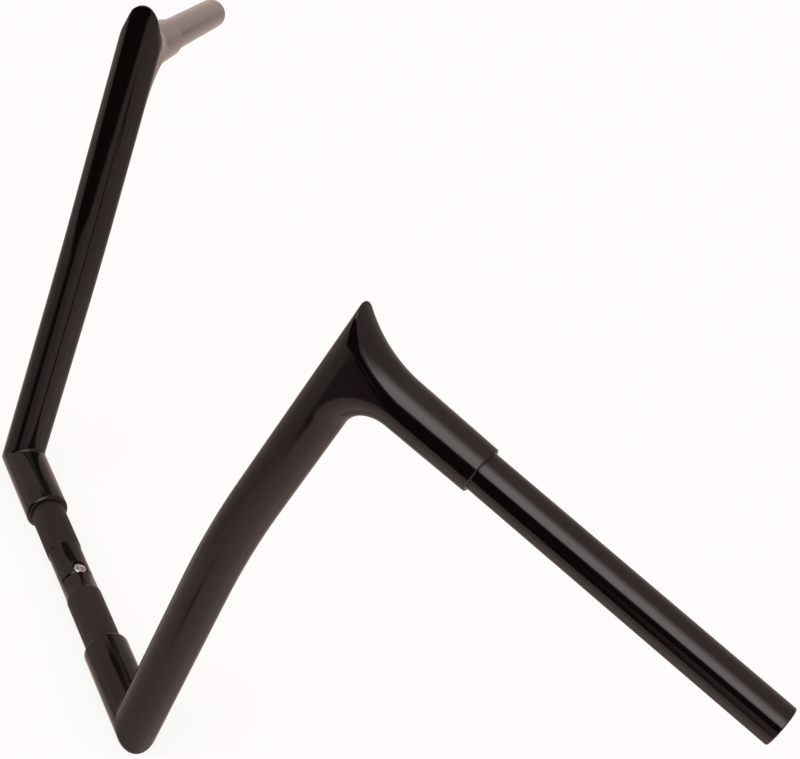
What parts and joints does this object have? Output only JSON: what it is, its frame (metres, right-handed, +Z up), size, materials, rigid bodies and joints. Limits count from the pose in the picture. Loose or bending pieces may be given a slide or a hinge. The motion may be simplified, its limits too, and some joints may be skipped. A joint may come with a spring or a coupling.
{
  "type": "motorcycle handlebar",
  "caption": "Tall steel motorcycle handlebar in halves joined by a screwed half-lap, with knurled clamp bands, thick risers, pointed top corners and swept-back grip tubes.",
  "frame": {"origin": "middle of the clamp section, on its axis", "axes": "+X along the clamp axis towards the rider's right, +Y forward on the motorcycle, +Z up the risers"},
  "size_m": [0.9118, 0.2042, 0.3856],
  "materials": {
    "gloss_black": "gloss",
    "clamp_black": "satin",
    "bright_steel": "satin"
  },
  "bodies": {
    "root": {"left_grip_tube": "gloss_black", "left_riser": "gloss_black", "left_base_tube": "gloss_black", "left_clamp_stub": "clamp_black", "right_clamp_stub": "clamp_black", "right_base_tube": "gloss_black", "right_riser": "gloss_black", "right_grip_tube": "gloss_black", "joint_screw": "bright_steel"}
  },
  "joints": []
}
